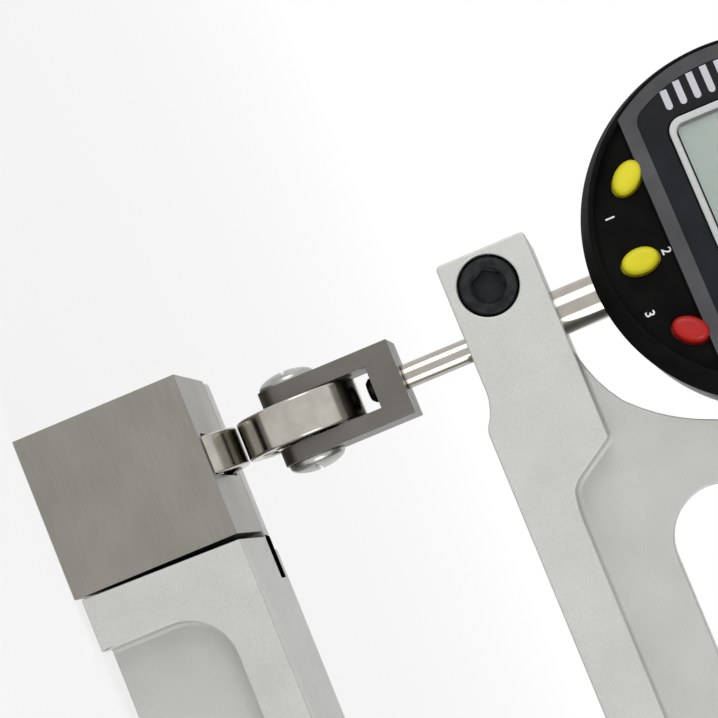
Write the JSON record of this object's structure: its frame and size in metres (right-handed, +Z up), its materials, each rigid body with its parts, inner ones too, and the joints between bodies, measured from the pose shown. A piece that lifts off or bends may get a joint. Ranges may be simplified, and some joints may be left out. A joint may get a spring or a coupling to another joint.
{
  "type": "roller film thickness gauge",
  "caption": "Hand-held thickness gauge for moving film: a C-shaped frame with a roller on its anvil block and a roller fork on the sprung plunger of a digital indicator.",
  "frame": {"origin": "on the plunger's axis, in the middle of the anvil block's bottom face", "axes": "+Z up along the plunger, +X along the arms towards the closed end of the frame, -Y to the front, from which the dial's face is turned 8.5 degrees"},
  "size_m": [0.1826, 0.0407, 0.1837],
  "materials": {
    "cast_paint": "satin silver-grey paint on an aluminium casting",
    "ground_steel": "fine ground steel",
    "bearing_steel": "polished bearing steel",
    "black_oxide": "black oxide on steel",
    "zinc_plate": "bright zinc plate on turned steel",
    "chrome": "polished stainless steel",
    "bronze": "sintered bronze",
    "black_plastic": "fine-textured moulded plastic",
    "zinc_die_cast": "satin die-cast zinc",
    "silver_trim": "silver-painted plastic",
    "clear_window": "clear acrylic",
    "display_glass": "grey-green liquid crystal display",
    "circuit_board": "green glass-epoxy board",
    "black_rubber": "black moulded rubber",
    "yellow_key": "yellow moulded plastic",
    "red_key": "red moulded plastic",
    "spring_steel": "drawn spring wire"
  },
  "bodies": {
    "gauge_frame": {"c_frame": "cast_paint", "clamp_bolt": "black_oxide", "anvil_block": "ground_steel", "anvil_screw_left": "black_oxide", "anvil_screw_right": "black_oxide", "lower_axle": "bearing_steel", "lower_axle_set_screw": "black_oxide", "lower_roller_inner_ring": "bearing_steel", "stem": "chrome", "lower_bush": "bronze", "upper_bush": "bronze", "top_sleeve": "chrome", "front_bezel": "black_plastic", "indicator_housing": "zinc_die_cast", "back_cover": "black_plastic", "cover_screw_1": "zinc_plate", "cover_screw_2": "zinc_plate", "cover_screw_3": "zinc_plate", "cover_screw_4": "zinc_plate", "lcd_frame": "silver_trim", "lcd_window": "clear_window", "lcd_panel": "display_glass", "contact_strip": "black_rubber", "circuit_board": "circuit_board", "key_switch_unit": "black_rubber", "key_switch_mode": "black_rubber", "key_switch_power": "black_rubber", "guide_rod": "bearing_steel", "battery": "chrome", "battery_cap": "black_plastic", "port_cover": "black_rubber"},
    "lower_roller": {"lower_roller_outer_ring": "bearing_steel", "lower_roller_shield_left": "bearing_steel", "lower_roller_shield_right": "bearing_steel"},
    "lower_cage": {"lower_roller_ball_cage": "bearing_steel"},
    "spindle": {"plunger": "chrome", "fork": "ground_steel", "fork_screw": "black_oxide", "axle_sleeve": "zinc_plate", "axle_screw": "zinc_plate", "upper_roller_inner_ring": "bearing_steel", "scale_carriage": "zinc_die_cast", "carriage_screw": "black_oxide", "encoder_scale": "circuit_board", "lift_knob": "black_plastic", "return_spring": "spring_steel"},
    "upper_roller": {"upper_roller_outer_ring": "bearing_steel", "upper_roller_shield_left": "bearing_steel", "upper_roller_shield_right": "bearing_steel"},
    "upper_cage": {"upper_roller_ball_cage": "bearing_steel"},
    "unit_key": {"button_unit": "yellow_key"},
    "mode_key": {"button_mode": "yellow_key"},
    "power_key": {"button_power": "red_key"}
  },
  "joints": [
    {"name": "spindle_slide", "type": "slide", "parent": "gauge_frame", "child": "spindle", "axis": [0, 0, 1], "range_m": [0, 0.0125], "stiffness_N_per_m": 40, "springref_m": -0.03, "deforming": ["return_spring"]},
    {"name": "upper_roller_spin", "type": "hinge", "parent": "spindle", "child": "upper_roller", "pos_m": [0, 0, 0.0459], "axis": [1, 0, 0], "continuous": true},
    {"name": "upper_cage_spin", "type": "hinge", "parent": "spindle", "child": "upper_cage", "pos_m": [0, 0, 0.0459], "axis": [1, 0, 0], "continuous": true},
    {"name": "lower_roller_spin", "type": "hinge", "parent": "gauge_frame", "child": "lower_roller", "pos_m": [0, 0, 0.0236], "axis": [1, 0, 0], "continuous": true},
    {"name": "lower_cage_spin", "type": "hinge", "parent": "gauge_frame", "child": "lower_cage", "pos_m": [0, 0, 0.0236], "axis": [1, 0, 0], "continuous": true},
    {"name": "unit_key_press", "type": "slide", "parent": "gauge_frame", "child": "unit_key", "axis": [0.1478, 0.989, 0], "range_m": [0, 0.0006], "stiffness_N_per_m": 100},
    {"name": "mode_key_press", "type": "slide", "parent": "gauge_frame", "child": "mode_key", "axis": [0.1478, 0.989, 0], "range_m": [0, 0.0006], "stiffness_N_per_m": 100},
    {"name": "power_key_press", "type": "slide", "parent": "gauge_frame", "child": "power_key", "axis": [0.1478, 0.989, 0], "range_m": [0, 0.0006], "stiffness_N_per_m": 100}
  ],
  "couplings": [
    {"joint": "upper_cage_spin", "follows": "upper_roller_spin", "ratio": 0.6323},
    {"joint": "lower_cage_spin", "follows": "lower_roller_spin", "ratio": 0.6323}
  ]
}
